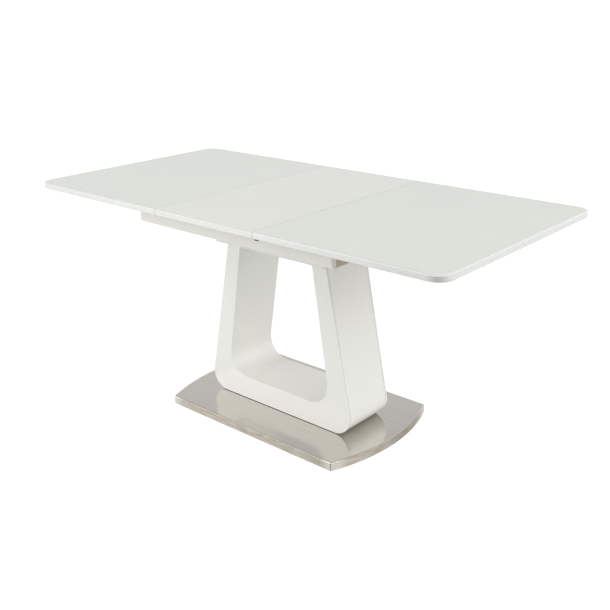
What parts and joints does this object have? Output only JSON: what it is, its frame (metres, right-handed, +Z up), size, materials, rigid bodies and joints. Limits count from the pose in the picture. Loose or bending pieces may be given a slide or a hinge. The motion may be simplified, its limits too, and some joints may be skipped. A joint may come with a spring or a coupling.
{
  "type": "extendable dining table",
  "caption": "Rectangular pedestal dining table whose glass-topped leaves slide apart on runners around a lift-out insert leaf, on an open trapezoid pedestal and a steel-clad base.",
  "frame": {"origin": "on the floor under the middle of the table", "axes": "+X along the table, the way the leaves slide; +Y across it, away from the front; +Z up"},
  "size_m": [1.6, 0.8, 0.75],
  "materials": {
    "core_board": "raw medium-density fibreboard",
    "stainless": "brushed",
    "pad_felt": "matte",
    "zinc_steel": "bright zinc plated",
    "white_lacquer": "satin white lacquer on fibreboard",
    "beech": "raw solid wood",
    "black_gasket": "matte",
    "white_nylon": "matte",
    "aluminium_extrusion": "mill finish",
    "black_plastic": "matte",
    "leaf_lacquer": "satin white lacquer on fibreboard",
    "satin_glass": "white back-painted glass with a satin face",
    "insert_lacquer": "satin white lacquer on fibreboard"
  },
  "bodies": {
    "pedestal_and_frame": {"base_core": "core_board", "base_top_sheet": "stainless", "base_end_band_left": "stainless", "base_end_band_right": "stainless", "base_pads": "pad_felt", "base_bolts": "zinc_steel", "pedestal_front_panel": "white_lacquer", "pedestal_back_panel": "white_lacquer", "pedestal_outer_skin": "white_lacquer", "pedestal_window_liner": "white_lacquer", "leg_head_blocks": "beech", "leg_ribs": "beech", "foot_blocks": "beech", "pedestal_gasket": "black_gasket", "pedestal_top_plate": "white_lacquer", "plate_screws": "zinc_steel", "frame_bolts": "zinc_steel", "spacer_blocks": "beech", "cross_bearer_left": "beech", "cross_bearer_right": "beech", "center_bearer": "beech", "side_rail_front": "white_lacquer", "side_rail_back": "white_lacquer", "end_rail_left": "beech", "end_rail_right": "beech", "frame_dowels": "beech", "corner_brackets": "zinc_steel", "rail_glides": "white_nylon", "runner_track_front": "aluminium_extrusion", "runner_track_back": "aluminium_extrusion", "track_screws": "zinc_steel", "travel_stops": "black_plastic", "pinion_bracket": "zinc_steel", "bracket_screws": "zinc_steel", "pinion_axle": "zinc_steel", "axle_clip": "zinc_steel", "rack_guides": "white_nylon"},
    "left_leaf": {"left_board": "leaf_lacquer", "left_glass": "satin_glass", "left_end_batten": "beech", "left_seam_batten": "beech", "left_bar_front": "aluminium_extrusion", "left_bar_back": "aluminium_extrusion", "left_rack": "white_nylon", "left_rack_hanger": "beech", "left_leaf_screws": "zinc_steel"},
    "right_leaf": {"right_board": "leaf_lacquer", "right_glass": "satin_glass", "right_end_batten": "beech", "right_seam_batten": "beech", "right_bar_front": "aluminium_extrusion", "right_bar_back": "aluminium_extrusion", "right_rack": "white_nylon", "right_rack_hanger": "beech", "right_leaf_screws": "zinc_steel", "right_leaf_catches": "black_plastic"},
    "insert_leaf": {"insert_board": "insert_lacquer", "insert_battens": "beech", "insert_screws": "zinc_steel"},
    "pinion": {"sync_pinion": "white_nylon"}
  },
  "joints": [
    {"name": "left_leaf_slide", "type": "slide", "parent": "pedestal_and_frame", "child": "left_leaf", "axis": [1, 0, 0], "range_m": [0, 0.2]},
    {"name": "right_leaf_slide", "type": "slide", "parent": "pedestal_and_frame", "child": "right_leaf", "axis": [-1, 0, 0], "range_m": [0, 0.2]},
    {"name": "insert_lift", "type": "slide", "parent": "pedestal_and_frame", "child": "insert_leaf", "axis": [0, 0, 1], "range_m": [0, 0.45]},
    {"name": "pinion_spin", "type": "hinge", "parent": "pedestal_and_frame", "child": "pinion", "pos_m": [0, 0, 0.704], "axis": [0, 0, 1], "range_deg": [-575, 0]}
  ],
  "couplings": [
    {"joint": "right_leaf_slide", "follows": "left_leaf_slide", "ratio": 1},
    {"joint": "pinion_spin", "follows": "left_leaf_slide", "rad_per_m": -50},
    {"joint": "insert_lift", "follows": "left_leaf_slide", "ratio": 2.25}
  ]
}
